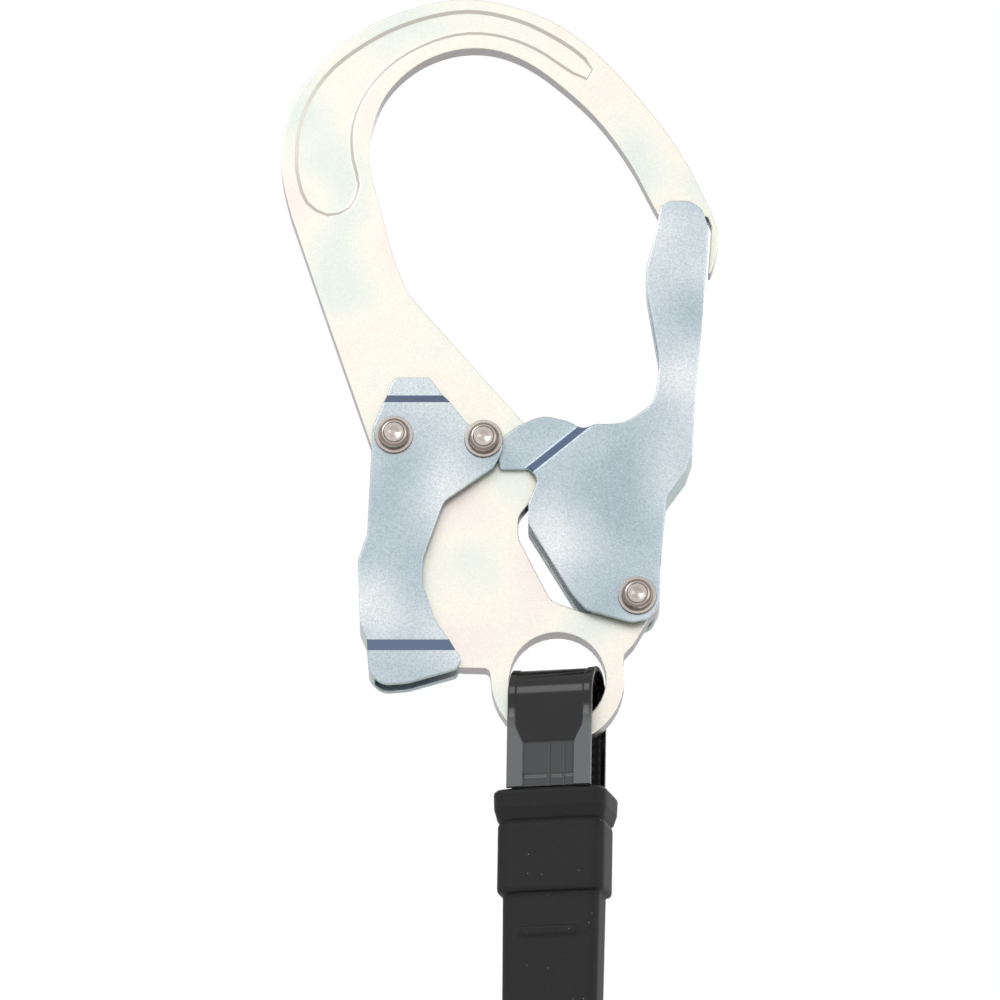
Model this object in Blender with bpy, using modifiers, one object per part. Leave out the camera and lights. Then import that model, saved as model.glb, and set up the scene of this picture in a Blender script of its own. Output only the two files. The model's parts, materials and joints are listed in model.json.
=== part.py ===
"""Self-retracting lifeline that ends in a large double-action scaffold hook.

The hook is a flat steel plate with a folded gate and a folded squeeze lever, all riveted. A webbing loop in
a plastic thimble hangs in its eye. Below a rubber sleeve the strap runs into a spring-driven retractor.

Frame: +X to the gate's side, +Y through the plate from front to back, +Z up. The origin is the top of the
hook's inner edge, in the plate's middle plane. Sizes below are in millimetres, and MM turns them into metres.
"""

import math

import bmesh
import bpy
import numpy as np
from mathutils import Matrix

MM = 0.001

# Fits
GAP = 0.3  # between pieces that touch on the real object
RIVET_FIT = 0.3  # between a rivet's shank and its holes
RUNNING_FIT = 0.3  # between a turning piece and what it turns in

ARC_ERROR = 0.04  # how far a drawn arc may lie inside the true one

# Hook plate and folded sheet
PLATE = 7.0
SHEET = 1.6
LAYER_GAP = 0.4  # between the plate, the inner sheet layer and the outer one
RIVET_D = 6.0
HEAD_D = 9.0
HEAD_H = 2.2
WASHER_T = 0.5
WASHER_RIM = 1.0  # how far a washer stands out round the head
POCKET_DEPTH = 0.5
POCKET_SLOPE = 1.0  # width of the pocket's sloping border

# Pivots and the eye, from the origin
LEVER_PIVOT = (-23.4, -116.4)
LOCK_PIN = (2.2, -117.6)
GATE_PIVOT = (46.0, -164.0)
EYE = (23.3, -187.5)
EYE_CLEAR = 2.8  # between the strap's edge and the side of the eye
EYE_RING = 5.2
LOCK_PIN_D = 4.0
LOCK_LIFT = 3.4  # how far the lock pin rises in its slot

# Torsion springs round the two pivots
COIL_WIRE = 0.5
COIL_TURNS = 1
COIL_CLEAR = 1.2  # between the rivet and the coil
COIL_LEG = 4.0

# Pressed steps in the gate's ears and in the lever's tab and pad
PRESS_STEP = 2.6
PRESS_SIZE = 90.0  # longer than any pressed part

# Lanyard, in its own frame with the origin in the eye
YAW = -14.0
ROLL = 0.9
STRAP_W = 22.0
STRAP_T = 1.4
THIMBLE_TOP = 4.2
BAND_CLEAR = 0.34  # between the plate's face and the webbing where its edge comes nearest
SADDLE_T = 2.0
COVER_T = 1.5
COVER_SIDE = 1.3  # how far the cover stands out beside the strap
SLEEVE_TOP = -33.0
COLLAR_TOP = -42.5
COLLAR_BOTTOM = -62.7
SLEEVE_BOTTOM = -112.0
SLEEVE_W = 28.4
SLEEVE_D = 12.0
COLLAR_W = 31.4
COLLAR_D = 15.2
RIM_W = 33.3
RIM_D = 20.6

# Retractor
STRAP_FREE = 5.0  # strap that shows between the sleeve and the bumper when the line is wound in
BUMPER_H = 5.0
HUB_D = 18.0
ROLL_R = 27.2
FLANGE_RIM = 2.8  # how far a flange stands over the full roll
FLANGE_T = 1.5
SHAFT_D = 8.0
TOP_ROOM = 22.0  # from the casing's top to the flanges
FRAME_T = 2.5
CASE_WALL = 2.5
CASE_EDGE = 2.2  # how far the casing's outer edge is drawn in
FLANGE_CLEAR = 2.0  # between a flange and the frame
CUP_CLEAR = 0.6  # between the frame and the spring cup
CASE_CLEAR = 1.5  # between what turns or stands inside and the casing
BUSH_WALL = 2.2
BORE_STEPS = 24
RATCHET_T = 3.0
RATCHET_R = 20.0
RATCHET_TEETH = 12
SPRING_W = 6.5
SPRING_TURNS = 4
SPRING_T = 0.6
CUP_R = 25.0
CUP_WALL = 1.2
CASE_SCREW_D = 3.0
SWIVEL_D = 9.0
SWIVEL_EYE_R = 12.0
SWIVEL_WIRE_D = 7.0

FINISHES = {
    "plate_zinc": ("E2E0D2", 0.38, 1.0),
    "sheet_zinc": ("BFCED5", 0.32, 1.0),
    "nickel": ("C9C0BA", 0.25, 1.0),
    "spring_steel": ("8A8D90", 0.35, 1.0),
    "gloss_plastic": ("1E1D1C", 0.25, 0.0),
    "rubber": ("2E2C2D", 0.65, 0.0),
    "webbing": ("2A2C30", 0.8, 0.0),
    "case_plastic": ("26292C", 0.45, 0.0),
    "frame_steel": ("A9AFB2", 0.4, 1.0),
    "bronze": ("A07B45", 0.45, 1.0),
}

# Layers, as distances from the plate's middle plane
PLATE_FACE = PLATE / 2
INNER_LOW = PLATE_FACE + LAYER_GAP
INNER_HIGH = INNER_LOW + SHEET
OUTER_LOW = INNER_HIGH + LAYER_GAP
OUTER_HIGH = OUTER_LOW + SHEET

EYE_HOLE_R = STRAP_W / 2 + EYE_CLEAR


def clear_scene():
    for obj in list(bpy.data.objects):
        bpy.data.objects.remove(obj, do_unlink=True)


def new_collection(name):
    collection = bpy.data.collections.new(name)
    bpy.context.scene.collection.children.link(collection)
    return collection


def finish(name):
    """Principled material of one finish: colour, roughness and metallic value."""
    if name in bpy.data.materials:
        return bpy.data.materials[name]
    colour, roughness, metallic = FINISHES[name]
    material = bpy.data.materials.new(name)
    material.use_nodes = True
    shader = material.node_tree.nodes["Principled BSDF"]
    rgb = [(int(colour[i : i + 2], 16) / 255) ** 2.2 for i in (0, 2, 4)]
    shader.inputs["Base Color"].default_value = (*rgb, 1.0)
    shader.inputs["Roughness"].default_value = roughness
    shader.inputs["Metallic"].default_value = metallic
    return material


def near(anchor, points):
    """Moves (x, z) or (x, z, radius) points by an anchor's place."""
    return [(anchor[0] + p[0], anchor[1] + p[1], *p[2:]) for p in points]


def corner_arc(before, here, after, radius):
    """Points of the arc of this radius that touches both sides of a corner."""
    a, b = before - here, after - here
    length_a, length_b = np.linalg.norm(a), np.linalg.norm(b)
    a, b = a / length_a, b / length_b
    half = math.acos(max(-1.0, min(1.0, float(a @ b)))) / 2
    reach = min(radius / math.tan(half), 0.48 * length_a, 0.48 * length_b)
    radius = reach * math.tan(half)
    turn = math.pi - 2 * half
    if turn < 0.02:
        return [here]
    middle = (a + b) / np.linalg.norm(a + b)
    centre = here + middle * radius / math.sin(half)
    start, end = here + a * reach - centre, here + b * reach - centre
    step = 2 * math.acos(1 - min(ARC_ERROR / radius, 0.05))
    count = max(2, math.ceil(turn / step))
    steps = np.linspace(0, 1, count + 1)
    return [
        centre + (math.sin((1 - t) * turn) * start + math.sin(t * turn) * end) / math.sin(turn)
        for t in steps
    ]


def outline(points, step=3.0):
    """Closed loop in the plane. (x, z, r) is a corner rounded to radius r, or sharp at 0, with straight
    sides. (x, z) lies on a smooth curve: between two such points runs a cubic whose slope at each of them is
    that of the chord between its neighbours."""
    placed = []
    for i, point in enumerate(points):
        here = np.array(point[:2], float)
        if len(point) == 2 or point[2] == 0:
            placed.append((here, len(point) == 2))
            continue
        before = np.array(points[i - 1][:2], float)
        after = np.array(points[(i + 1) % len(points)][:2], float)
        placed += [(spot, False) for spot in corner_arc(before, here, after, point[2])]
    spots = np.array([spot for spot, _ in placed])
    chords = np.roll(spots, -1, axis=0) - np.roll(spots, 1, axis=0)
    lengths = np.linalg.norm(np.roll(spots, -1, axis=0) - spots, axis=1)
    slopes = chords / (lengths + np.roll(lengths, 1))[:, None]
    loop = []
    for i, (here, curved) in enumerate(placed):
        after, after_curved = placed[(i + 1) % len(placed)]
        count = max(1, round(lengths[i] / step)) if curved and after_curved else 1
        t = np.arange(count)[:, None] / count
        leave, arrive = slopes[i] * lengths[i], slopes[(i + 1) % len(placed)] * lengths[i]
        cubic = (
            (2 * t**3 - 3 * t**2 + 1) * here
            + (t**3 - 2 * t**2 + t) * leave
            + (3 * t**2 - 2 * t**3) * after
            + (t**3 - t**2) * arrive
        )
        loop.append(cubic)
    return np.vstack(loop)


def circle(centre, radius, count=32):
    turn = np.linspace(0, 2 * math.pi, count, endpoint=False)
    return np.stack([centre[0] + radius * np.cos(turn), centre[1] + radius * np.sin(turn)], axis=1)


def ring_arc(centre, radius, start, end, step=12):
    """Points of an arc from one angle to another, in degrees."""
    count = max(2, math.ceil(abs(end - start) / step))
    turn = np.radians(np.linspace(start, end, count + 1))
    x, z = centre[0] + radius * np.cos(turn), centre[1] + radius * np.sin(turn)
    return [(a, b, 0) for a, b in zip(x, z)]


def inset(loop, distance):
    """Loop moved inwards: each point goes along the mean normal of its two sides."""
    along = np.roll(loop, -1, axis=0) - np.roll(loop, 1, axis=0)
    normal = np.stack([-along[:, 1], along[:, 0]], axis=1) / np.linalg.norm(along, axis=1)[:, None]
    x, y = loop[:, 0], loop[:, 1]
    area = np.sum(x * np.roll(y, -1) - np.roll(x, -1) * y) / 2
    return loop + normal * distance * math.copysign(1, area)


def place(obj, collection, parent, material):
    collection.objects.link(obj)
    obj.parent = parent
    if material:
        obj.data.materials.clear()
        obj.data.materials.append(finish(material))
    if collection is cutters:
        obj.hide_render = True
        obj.display_type = "WIRE"
    return obj


def slab(name, loops, low, high, material=None, parent=None, facing="Y"):
    """Flat outline with holes, thickened from low to high along the frame's Y or X."""
    curve = bpy.data.curves.new(name, "CURVE")
    curve.dimensions = "2D"
    curve.fill_mode = "BOTH"
    curve.extrude = (high - low) / 2 * MM
    for loop in loops:
        spline = curve.splines.new("POLY")
        spline.points.add(len(loop) - 1)
        rows = np.column_stack([loop * MM, np.zeros(len(loop)), np.ones(len(loop))])
        spline.points.foreach_set("co", rows.ravel())
        spline.use_cyclic_u = True
    drawn = bpy.data.objects.new(name + "_outline", curve)
    bpy.context.scene.collection.objects.link(drawn)
    middle = (low + high) / 2 * MM
    if facing == "Y":
        turned_to = Matrix.Translation((0, middle, 0)) @ Matrix.Rotation(math.pi / 2, 4, "X")
    else:
        upright = Matrix.Rotation(math.pi / 2, 4, "Z") @ Matrix.Rotation(math.pi / 2, 4, "X")
        turned_to = Matrix.Translation((middle, 0, 0)) @ upright
    mesh = mesh_of(drawn, name)
    obj = bpy.data.objects.new(name, mesh)
    place(obj, parts if material else cutters, parent, material)
    obj.matrix_local = turned_to
    return obj


def mesh_of(drawn, name):
    """Mesh of a curve object, with its caps welded, in the curve's place."""
    bpy.context.view_layer.update()
    evaluated = drawn.evaluated_get(bpy.context.evaluated_depsgraph_get())
    mesh = bpy.data.meshes.new_from_object(evaluated)
    mesh.name = name
    shape = bmesh.new()
    shape.from_mesh(mesh)
    bmesh.ops.remove_doubles(shape, verts=shape.verts, dist=0.00001)
    bmesh.ops.dissolve_limit(shape, angle_limit=0.001, verts=shape.verts, edges=shape.edges)
    bmesh.ops.recalc_face_normals(shape, faces=shape.faces)
    shape.to_mesh(mesh)
    shape.free()
    bpy.data.objects.remove(drawn, do_unlink=True)
    return mesh


def turned(name, profile, centre, axis, material=None, parent=None, steps=24, closed=False):
    """Turned piece: (radius, height) points run down its outer side, and height is along the axis."""
    mesh = bpy.data.meshes.new(name)
    count = len(profile)
    edges = [(i, i + 1) for i in range(count - 1)] + ([(count - 1, 0)] if closed else [])
    mesh.from_pydata([(r * MM, 0, h * MM) for r, h in profile], edges, [])
    obj = bpy.data.objects.new(name, mesh)
    place(obj, parts if material else cutters, parent, material)
    screw = obj.modifiers.new("turn", "SCREW")
    screw.steps = screw.render_steps = steps
    screw.use_merge_vertices = True
    screw.merge_threshold = 0.00001
    screw.use_smooth_shade = True
    if axis == "Y":
        aim = Matrix.Rotation(-math.pi / 2, 4, "X")
    elif axis == "X":
        aim = Matrix.Rotation(math.pi / 2, 4, "Y")
    else:
        aim = Matrix.Identity(4)
    obj.matrix_local = Matrix.Translation([c * MM for c in centre]) @ aim
    return obj


def tube_profile(inner, outer, low, high):
    """Closed profile of a plain ring."""
    return [(outer, high), (outer, low), (inner, low), (inner, high)]


def rod_profile(radius, low, high):
    return [(0, high), (radius, high), (radius, low), (0, low)]


def wire(name, points, diameter, material, parent=None):
    """Round wire along points, as a tube with filled ends."""
    curve = bpy.data.curves.new(name, "CURVE")
    curve.dimensions = "3D"
    curve.bevel_depth = diameter / 2 * MM
    curve.bevel_resolution = 1
    curve.use_fill_caps = True
    spline = curve.splines.new("POLY")
    spline.points.add(len(points) - 1)
    rows = np.column_stack([np.array(points) * MM, np.ones(len(points))])
    spline.points.foreach_set("co", rows.ravel())
    drawn = bpy.data.objects.new(name + "_path", curve)
    bpy.context.scene.collection.objects.link(drawn)
    obj = bpy.data.objects.new(name, mesh_of(drawn, name))
    return place(obj, parts, parent, material)


def block(name, low, high, parent=None, material=None):
    """Box between two corners."""
    shape = bmesh.new()
    bmesh.ops.create_cube(shape, size=1)
    middle = [(a + b) / 2 * MM for a, b in zip(low, high)]
    size = [(b - a) * MM for a, b in zip(low, high)]
    bmesh.ops.transform(
        shape,
        matrix=Matrix.Translation(middle) @ Matrix.Diagonal((*size, 1)),
        verts=shape.verts,
    )
    mesh = bpy.data.meshes.new(name)
    shape.to_mesh(mesh)
    shape.free()
    return place(bpy.data.objects.new(name, mesh), parts if material else cutters, parent, material)


def stacked(name, levels, facing, parent=None, material=None):
    """Solid through one loop per level, all with the same count of points. Each level is a (height, loop),
    and the height is along the frame's Y or X."""
    shape = bmesh.new()
    grid = []
    for height, loop in levels:
        flat = np.full(len(loop), height)
        if facing == "Y":
            points = np.column_stack([loop[:, 0], flat, loop[:, 1]])
        else:
            points = np.column_stack([flat, loop])
        grid.append([shape.verts.new(point * MM) for point in points])
    shape.faces.new(grid[0])
    shape.faces.new(grid[-1])
    for upper, lower in zip(grid, grid[1:]):
        for i, j in zip(range(len(upper)), [*range(1, len(upper)), 0]):
            shape.faces.new((upper[i], upper[j], lower[j], lower[i]))
    bmesh.ops.recalc_face_normals(shape, faces=shape.faces)
    mesh = bpy.data.meshes.new(name)
    shape.to_mesh(mesh)
    shape.free()
    return place(bpy.data.objects.new(name, mesh), parts if material else cutters, parent, material)


def combine(obj, other, operation):
    step = obj.modifiers.new(other.name, "BOOLEAN")
    step.operation = operation
    step.object = other
    return obj


def empty(name, matrix, parent=None):
    obj = bpy.data.objects.new(name, None)
    parts.objects.link(obj)
    obj.parent = parent
    obj.matrix_local = matrix
    return obj


clear_scene()
parts = new_collection("self_retracting_lifeline")
cutters = new_collection("cutters")


# --- Hook body ---------------------------------------------------------------------------------------------

BODY_LOBE_R = 6.4
NOSE_FLAT_Z = -50.3
bow_outside = [
    (-52.9, -50.0), (-55.8, -35.0), (-54.3, -21.5), (-48.4, -9.4), (-38.2, 1.6), (-26.9, 8.6),
    (-13.5, 13.3), (-2.0, 14.7), (11.0, 12.4), (23.4, 7.2), (35.0, -1.8), (47.2, -15.3),
    (58.0, -30.2), (64.9, -43.4), (69.2, -54.0), (69.4, -58.5), (67.9, -65.0),
]
bow_inside = [
    (50.6, -46.6), (44.0, -34.0), (35.4, -21.9), (25.6, -12.2), (14.9, -4.2), (4.5, -0.3), (-6.5, -0.6),
    (-17.0, -5.1), (-25.7, -13.8), (-29.9, -24.6), (-30.6, -34.0), (-26.6, -51.0), (-23.4, -63.0),
]
lip = [(66.4, -69.0, 0.5), (67.5, -53.2, 0), (66.4, NOSE_FLAT_Z, 0.8), (52.6, NOSE_FLAT_Z, 0.8)]
shank_right = [(-19.6, -73.2, 12), (11.5, -109.2, 6), (19.5, -118.5, 4), (20.0, -126.0, 4)]
cut_out = near(
    GATE_PIVOT,
    [(-30.6, 28.6, 3), (-33.9, 24.6, 5), (-33.9, 18.0, 6), (-24.6, -0.6, 5), (-13.0, -4.6, 3), (-7.5, 1.0, 3)],
)
pivot_lobe = ring_arc(GATE_PIVOT, BODY_LOBE_R, 100, -55, 20)
neck = near(EYE, [(21.6, 10.2, 3), (18.9, 7.2, 1.5)])
eye_ring = ring_arc(EYE, EYE_HOLE_R + EYE_RING, 12, -180, 10)
shoulder = near(EYE, [(-19.4, 3.2, 2), (-28.4, 3.4, 5)])
shank_left = near(
    LEVER_PIVOT,
    [(8.3, -60.5, 6), (2.2, -47.0, 8), (-0.6, -29.0, 8), (-2.6, -8.0, 3), (-3.4, -4.2, 1), (-6.2, -2.8, 1)],
)
body_loop = outline(
    [(-45.6, -72.0, 12), *bow_outside, *lip, *bow_inside, *shank_right, *cut_out, *pivot_lobe]
    + [*neck, *eye_ring, *shoulder, *shank_left]
)


def stadium(start, end, radius):
    """Slot from one point to another with round ends."""
    angle = math.degrees(math.atan2(end[1] - start[1], end[0] - start[0]))
    points = ring_arc(start, radius, angle + 90, angle + 270, 20)
    points += ring_arc(end, radius, angle - 90, angle + 90, 20)
    return np.array([p[:2] for p in points])


slot_top = (LOCK_PIN[0], LOCK_PIN[1] + LOCK_LIFT)
holes = [
    circle(EYE, EYE_HOLE_R, 40),
    circle(LEVER_PIVOT, RIVET_D / 2 + RIVET_FIT, 20),
    circle(GATE_PIVOT, RIVET_D / 2 + RIVET_FIT, 20),
    stadium(LOCK_PIN, slot_top, LOCK_PIN_D / 2 + 3 * RIVET_FIT),
]
hook_body = slab("hook_body", [body_loop, *holes], -PLATE_FACE, PLATE_FACE, "plate_zinc")

pocket = outline(
    [
        (-52.0, -33.7), (-50.4, -20.6), (-43.6, -8.0), (-32.0, 1.8), (-18.0, 8.6), (-2.6, 11.6), (12.0, 9.0),
        (24.6, 2.7), (31.5, -2.6), (33.9, -6.2), (32.0, -9.6), (27.6, -7.7), (17.4, -0.8), (8.0, 3.0),
        (-2.0, 4.1), (-12.0, 1.8), (-22.6, -4.0), (-30.6, -12.6), (-34.9, -23.0), (-34.8, -33.0),
        (-33.1, -41.0), (-36.0, -48.0), (-42.6, -50.2), (-48.8, -46.4), (-51.3, -39.6),
    ],
    step=3.5,
)
# The border keeps its slope past the plate's face, so that the cutter's end stands clear of it.
OVERSHOOT = 0.5
for side in (-1, 1):
    cutter = stacked(
        f"pocket_cutter_{'front' if side < 0 else 'back'}",
        [
            (side * (PLATE_FACE + OVERSHOOT * POCKET_DEPTH), inset(pocket, -OVERSHOOT * POCKET_SLOPE)),
            (side * (PLATE_FACE - POCKET_DEPTH), inset(pocket, POCKET_SLOPE)),
        ],
        "Y",
    )
    combine(hook_body, cutter, "DIFFERENCE")


# --- Rivets, washers and springs of the hook ---------------------------------------------------------------


def rivet(name, centre, shank_d, under_head):
    """Rivet with a domed head at each end: a flat top, a round shoulder and a straight shank."""
    base, top, r = under_head, under_head + HEAD_H, HEAD_D / 2
    half = [(0, top), (r * 0.62, top), (r * 0.86, top - HEAD_H * 0.3), (r, base + HEAD_H * 0.2), (r, base)]
    half += [(shank_d / 2, base)]
    profile = half + [(radius, -height) for radius, height in reversed(half)]
    return turned(name, profile, (centre[0], 0, centre[1]), "Y", "nickel", steps=20)


def washers(name, centre, shank_d, seat):
    """One washer in front and one behind, on the rivet's shank."""
    for side, word in ((-1, "front"), (1, "back")):
        low, high = sorted((side * seat, side * (seat + WASHER_T)))
        profile = tube_profile(shank_d / 2 + RIVET_FIT, HEAD_D / 2 + WASHER_RIM, low, high)
        at = (centre[0], 0, centre[1])
        turned(f"{name}_washer_{word}", profile, at, "Y", "nickel", steps=16, closed=True)


WASHER_SEAT = OUTER_HIGH + GAP
HEAD_SEAT = WASHER_SEAT + WASHER_T + GAP
for name, centre, shank_d in (
    ("gate", GATE_PIVOT, RIVET_D),
    ("lever", LEVER_PIVOT, RIVET_D),
    ("lock", LOCK_PIN, LOCK_PIN_D),
):
    rivet(f"{name}_rivet", centre, shank_d, HEAD_SEAT)
    washers(name, centre, shank_d, WASHER_SEAT)


def torsion_spring(name, centre, side, first, swing):
    """Wire coil in the space beside the plate: a straight leg, the turns and a second leg."""
    radius = RIVET_D / 2 + COIL_CLEAR + COIL_WIRE / 2
    room = OUTER_LOW - PLATE_FACE - COIL_WIRE
    pitch = room * 0.6 / COIL_TURNS
    start = math.radians(first)
    total = 2 * math.pi * COIL_TURNS + math.radians(swing)
    turn = np.linspace(0, total, 16 * COIL_TURNS + 1)
    depth = OUTER_LOW - COIL_WIRE / 2 - room * 0.2 - pitch * turn / (2 * math.pi) * 0.9
    x = centre[0] + radius * np.cos(start + turn)
    z = centre[1] + radius * np.sin(start + turn)
    coil = np.stack([x, side * depth, z], axis=1)
    tangent_in = np.array([math.sin(start), 0, -math.cos(start)])
    end = start + total
    tangent_out = np.array([-math.sin(end), 0, math.cos(end)])
    points = [coil[0] + tangent_in * COIL_LEG, *coil, coil[-1] + tangent_out * COIL_LEG]
    return wire(name, points, COIL_WIRE, "spring_steel")


for side, word in ((-1, "front"), (1, "back")):
    torsion_spring(f"gate_spring_{word}", GATE_PIVOT, side, 200, 60)
    torsion_spring(f"lever_spring_{word}", LEVER_PIVOT, side, 20, -60)


# --- Folded sheet pieces -----------------------------------------------------------------------------------


def press_cutter(name, at, angle, reach, low, high):
    """Wedges in front and behind that take the sheet from its outer layer down to its inner one. Across the
    fold, along the normal at this angle, the surface climbs from low to high. The wedges reach along it."""
    half = PRESS_STEP / 2
    above = high + 2 * (high - low)
    wedge = np.array(
        [(-PRESS_SIZE, low), (-half, low), (half, high), (half * 5, above), (-PRESS_SIZE, above)]
    )
    cutter = slab(name, [wedge, wedge * (1, -1)], reach[0], reach[1])
    # The wedge's own X is the fold's normal, its own Y is the plate's normal, and Z runs along the fold.
    lies = Matrix.Translation((at[0] * MM, 0, at[1] * MM)) @ Matrix.Rotation(-math.radians(angle), 4, "Y")
    cutter.matrix_local = lies @ Matrix.Translation((0, 0, (reach[0] + reach[1]) / 2 * MM))
    return cutter


def folded(name, outer_loop, hollow_loop, presses, hinges):
    """Channel of folded sheet: the outline at full width, less a hollow that leaves the two cheeks and the
    web. Each press, a (place, angle, reach), pushes the cheeks in to the plate on its far side."""
    piece = slab(name, [outer_loop], -OUTER_HIGH, OUTER_HIGH, "sheet_zinc")
    hollow = slab(name + "_hollow", [hollow_loop], -OUTER_LOW, OUTER_LOW)
    for i, (at, angle, reach) in enumerate(presses):
        outer = press_cutter(f"{name}_press_{i}", at, angle, reach, INNER_HIGH, OUTER_HIGH)
        combine(piece, outer, "DIFFERENCE")
        inner = press_cutter(f"{name}_hollow_press_{i}", at, angle, reach, INNER_LOW, OUTER_LOW)
        combine(hollow, inner, "DIFFERENCE")
    combine(piece, hollow, "DIFFERENCE")
    for i, (centre, diameter) in enumerate(hinges):
        profile = rod_profile(diameter / 2, -2 * OUTER_HIGH, 2 * OUTER_HIGH)
        hole = turned(f"{name}_hole_{i}", profile, (centre[0], 0, centre[1]), "Y")
        combine(piece, hole, "DIFFERENCE")
    return piece


# Gate: the web runs down the right side, and the ears at the left are pressed in to the plate.
gate_right = [(66.3, -60.3), (64.6, -85.2), (62.9, -104.0), (61.8, -121.5)]
gate_knee = near(GATE_PIVOT, [(14.0, 37.0), (8.4, 29.2), (7.9, 24.0), (6.5, 9.5), (5.7, 4.0)])
gate_web = [(66.4, -54.0, 0), (66.3, -60.3, 3)] + [(x, z, 3) for x, z in gate_right[1:]]
gate_web += [(x, z, 3) for x, z in gate_knee[:3]]
gate_foot = near(
    GATE_PIVOT,
    [(6.5, 10.0, 3), (6.4, -1.5, 4), (3.9, -6.6, 4), (-1.5, -7.7, 4), (-14.5, -4.0, 5), (-18.6, 0.8, 4)],
)
gate_left = near(
    GATE_PIVOT,
    [(-31.0, 21.4, 2), (-31.0, 27.6, 3), (-28.2, 34.6, 2.5), (-30.8, 38.0, 0.5), (-39.2, 38.0, 1)],
)
ear_top = near(
    GATE_PIVOT,
    [
        (-40.2, 45.5, 0), (-37.8, 48.0, 4), (-34.0, 50.8, 5), (-27.0, 54.0, 8), (-19.5, 52.2, 6),
        (-15.0, 49.6, 3),
    ],
)
gate_throat = [
    (33.8, -113.2, 3), (42.6, -113.0, 10), (51.0, -106.8, 8), (52.6, -94.5, 20), (49.0, -73.5, 20),
    (48.6, -67.5, 12), (51.9, -54.0, 8), (52.8, -48.4, 2), (55.6, -46.7, 1.5), (61.2, -46.7, 4),
    (64.8, -49.2, 3),
]
gate_loop = outline([*gate_web, *gate_foot, *gate_left, *ear_top, *gate_throat])
WEB_TOP = NOSE_FLAT_Z - 3.2
gate_hollow = outline(
    [(80.0, WEB_TOP, 0), (66.4 - SHEET, WEB_TOP, 0)]
    + [(x - SHEET, z, r) for x, z, r in gate_web[2:]]
    + near(GATE_PIVOT, [(8.0 - SHEET, 13.0, 0), (20.0, 13.0, 0), (20.0, -30.0, 0), (-70.0, -30.0, 0)])
    + [(-30.0, -30.0, 0), (80.0, -30.0, 0)]
)
EAR_ANGLE = -50.5  # the press's normal points down and to the right
ear_fold = near(GATE_PIVOT, [(-22.6, 44.2)])[0]
gate_press = (ear_fold, EAR_ANGLE, (-60.0, 13.0))
gate = folded("gate", gate_loop, gate_hollow, [gate_press], [(GATE_PIVOT, RIVET_D + 2 * RIVET_FIT)])

# Lever: the web runs down the left side. The tab above and the pad below are pressed in to the plate.
lever_tab = near(
    LEVER_PIVOT,
    [
        (-0.8, 16.0, 1), (0.6, 17.6, 1.5), (10.2, 17.6, 1.5), (13.6, 12.8, 1.5), (15.4, 10.6, 2),
        (17.8, 7.4, 1),
    ],
)
lock_lobe = near(
    LOCK_PIN,
    [(-4.5, 4.4, 2), (4.4, 2.8, 3), (5.6, -2.6, 4), (3.2, -8.0, 4), (-4.6, -13.6, 6)],
)
lever_waist = near(
    LEVER_PIVOT,
    [(14.2, -19.6, 5), (8.4, -36.0, 9), (8.0, -43.5, 9), (11.6, -54.4, 9), (17.4, -62.8, 3)],
)
lever_pad = near(
    LEVER_PIVOT,
    [(19.2, -65.4, 1.5), (18.0, -68.6, 2), (4.0, -72.6, 10), (-3.4, -73.2, 5), (-7.0, -69.5, 4)],
)
lever_web = near(
    LEVER_PIVOT,
    [(-7.7, -60.0, 3), (-9.6, -55.4, 3), (-10.2, -37.0, 3), (-7.6, -29.5, 4), (-6.4, -4.5, 3)],
)
lever_side = near(LEVER_PIVOT, [(-6.0, 2.4, 4), (-2.4, 11.0, 4)])
lever_loop = outline([*lever_tab, *lock_lobe, *lever_waist, *lever_pad, *lever_web, *lever_side])
lever_inside = [(x + SHEET, z, r) for x, z, r in lever_web]
lever_hollow = outline(
    near(LEVER_PIVOT, [(-30.0, -5.0, 0), (-30.0, 40.0, 0), (80.0, 40.0, 0), (80.0, -100.0, 0)])
    + near(LEVER_PIVOT, [(-7.0 + SHEET, -100.0, 0)])
    + [(lever_pad[-1][0] + SHEET, lever_pad[-1][1], 0)]
    + lever_inside[:-1]
    + near(LEVER_PIVOT, [(-6.4 + SHEET, -5.0, 0)])
)
tab_press = (near(LEVER_PIVOT, [(0, 11.0)])[0], -90, (-80.0, 80.0))
pad_press = (near(LEVER_PIVOT, [(0, -61.8)])[0], 90, (-80.0, 80.0))
lever_hinges = [(LEVER_PIVOT, RIVET_D + 2 * RIVET_FIT), (LOCK_PIN, LOCK_PIN_D + 2 * RIVET_FIT)]
lever = folded("lever", lever_loop, lever_hollow, [tab_press, pad_press], lever_hinges)


# --- Lanyard: thimble, loop and sleeve ---------------------------------------------------------------------

eye_place = Matrix.Translation((EYE[0] * MM, 0, EYE[1] * MM))
lean = Matrix.Rotation(math.radians(YAW), 4, "Z") @ Matrix.Rotation(math.radians(ROLL), 4, "Y")
lanyard_frame = empty("lanyard_frame", eye_place @ lean)


def arch(outer_half, inner_half, top, inner_top, bottom, round_outer, round_inner):
    """Upside-down U in the Y-Z plane, with its own radius outside and inside."""
    return outline(
        [
            (outer_half, bottom, 0), (outer_half, top, round_outer), (-outer_half, top, round_outer),
            (-outer_half, bottom, 0), (-inner_half, bottom, 0), (-inner_half, inner_top, round_inner),
            (inner_half, inner_top, round_inner), (inner_half, bottom, 0),
        ]
    )


# The strap's width is turned by the yaw, so one edge of it comes nearest the plate.
edge_reach = STRAP_W / 2 * math.sin(math.radians(-YAW))
BAND_IN = (PLATE / 2 + BAND_CLEAR + edge_reach) / math.cos(math.radians(YAW))
SADDLE_OUT = BAND_IN - GAP
SADDLE_IN = SADDLE_OUT - SADDLE_T
BAND_OUT = BAND_IN + STRAP_T
COVER_IN = BAND_OUT + GAP
COVER_OUT = COVER_IN + COVER_T
COVER_W = STRAP_W + 2 * COVER_SIDE
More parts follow.
